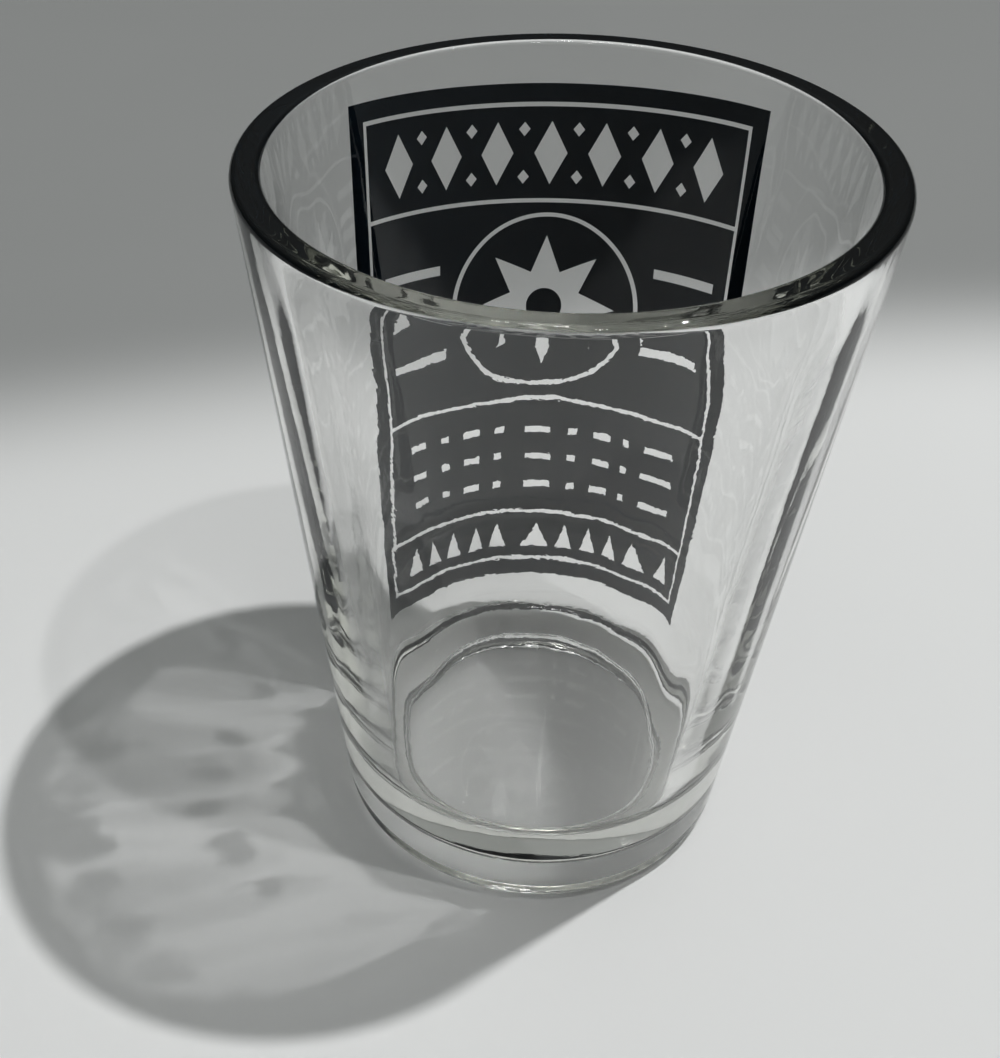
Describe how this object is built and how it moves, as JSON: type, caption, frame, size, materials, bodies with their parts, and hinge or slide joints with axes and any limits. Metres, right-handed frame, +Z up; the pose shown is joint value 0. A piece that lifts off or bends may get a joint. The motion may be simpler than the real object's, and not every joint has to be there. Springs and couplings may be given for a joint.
{
  "type": "shot glass",
  "caption": "Clear tapered shot glass with a thick base that is recessed underneath, and a dark printed panel on the back of its wall.",
  "frame": {"origin": "centre of the ring that the glass stands on, at table level", "axes": "+Z up along the axis of the glass, towards the rim; +Y out of the middle of the printed panel"},
  "size_m": [0.0468, 0.0468, 0.06],
  "materials": {
    "clear_glass": "clear pressed glass",
    "enamel": "satin fired enamel"
  },
  "bodies": {
    "root": {"glass_body": "clear_glass", "print_border": "enamel", "print_header": "enamel", "print_field": "enamel", "print_roundel": "enamel", "print_hub": "enamel", "print_panel": "enamel", "print_footer": "enamel"}
  },
  "joints": []
}
